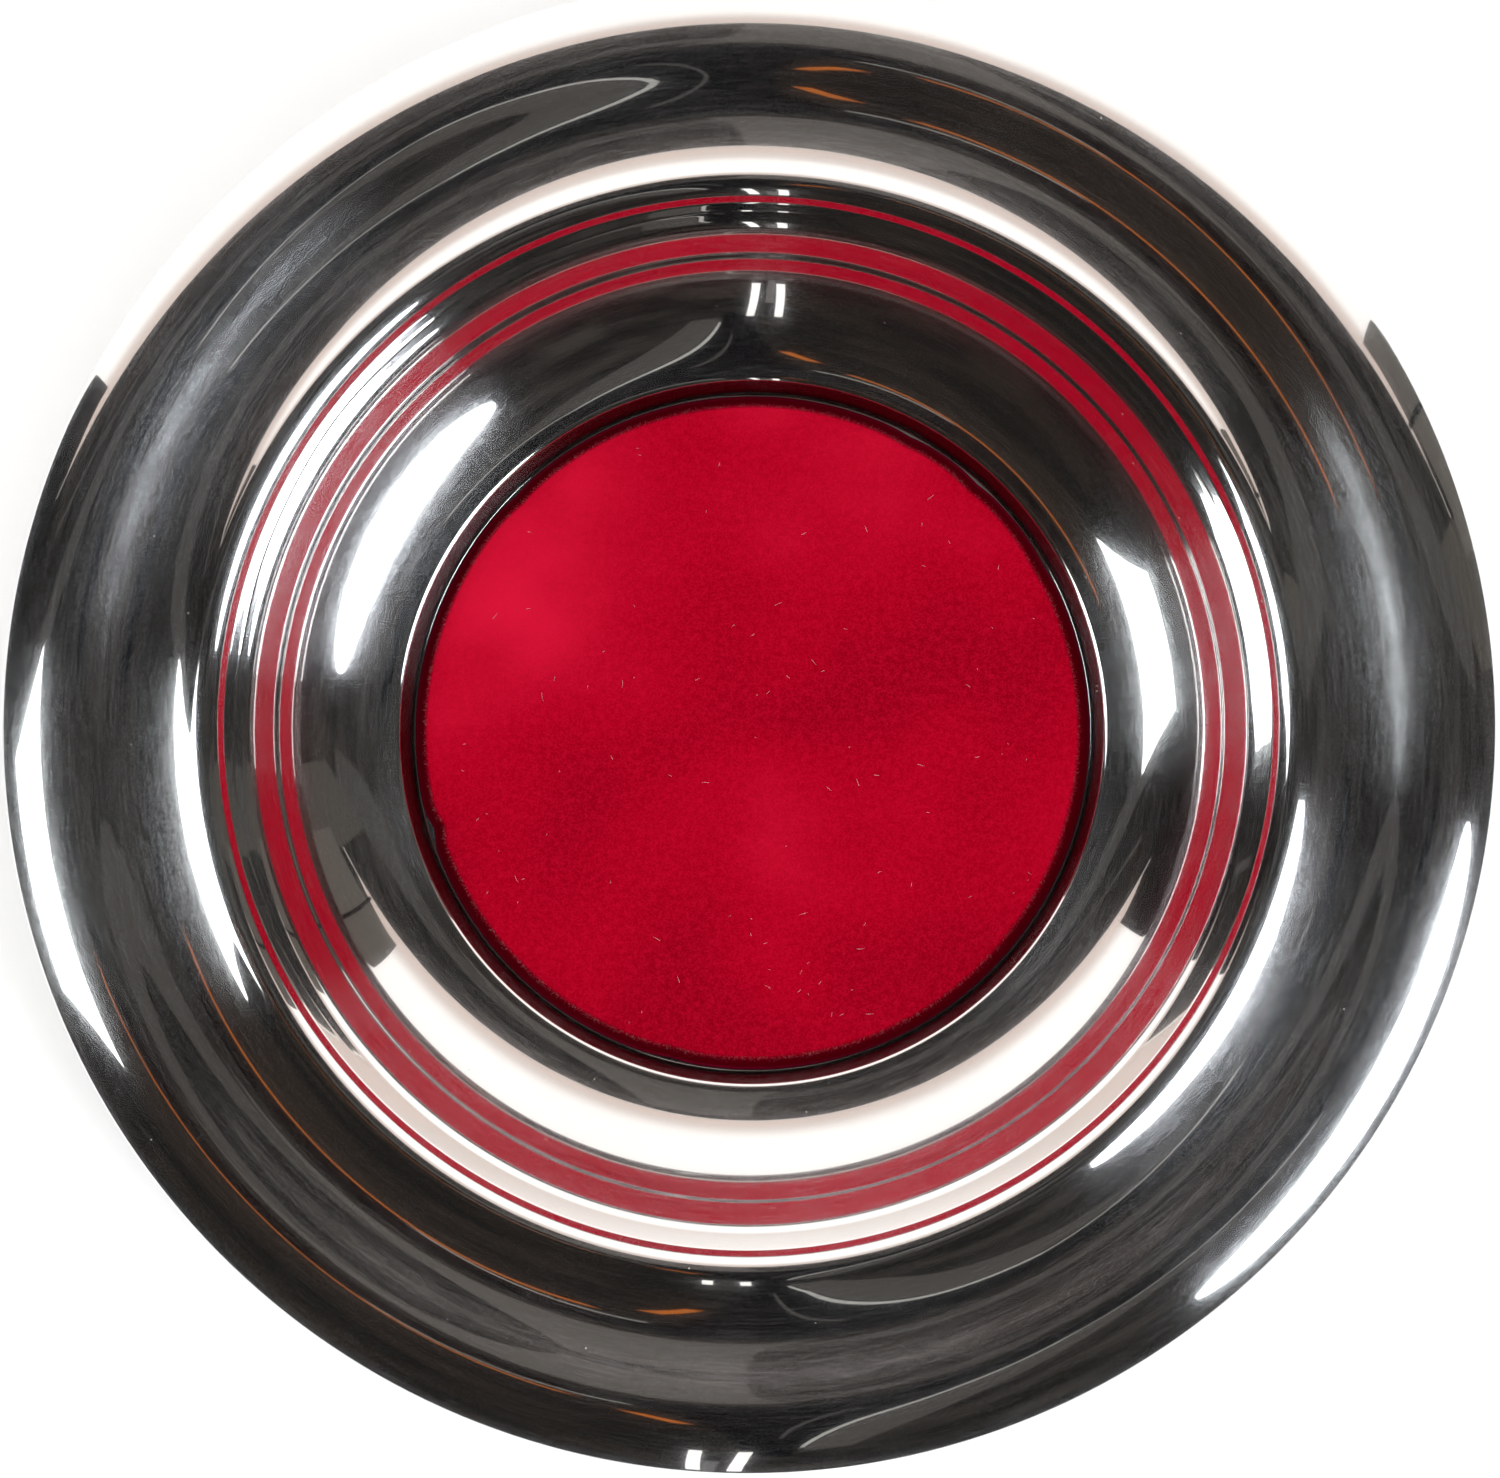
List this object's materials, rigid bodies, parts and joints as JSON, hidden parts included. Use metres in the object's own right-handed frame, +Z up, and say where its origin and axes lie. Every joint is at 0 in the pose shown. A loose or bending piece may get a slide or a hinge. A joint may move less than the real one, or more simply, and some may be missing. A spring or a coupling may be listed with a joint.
{
  "type": "offering plate",
  "caption": "Round polished steel collection plate with a wide rolled brim, a stepped well and a velvet pad in the recess of its floor.",
  "frame": {"origin": "centre of the flat underside that the plate stands on", "axes": "+Z up, along the plate's axis of revolution, out of the bowl"},
  "size_m": [0.3048, 0.3048, 0.0325],
  "materials": {
    "polished_steel": "mirror polished stainless steel with fine turning and wiping marks",
    "crimson_velvet": "short cut pile, crimson",
    "grey_backing": "thin grey backing board",
    "adhesive_film": "thin tacky film"
  },
  "bodies": {
    "root": {"plate_body": "polished_steel", "pad_velvet": "crimson_velvet", "pad_core": "grey_backing", "pad_adhesive": "adhesive_film"}
  },
  "joints": []
}
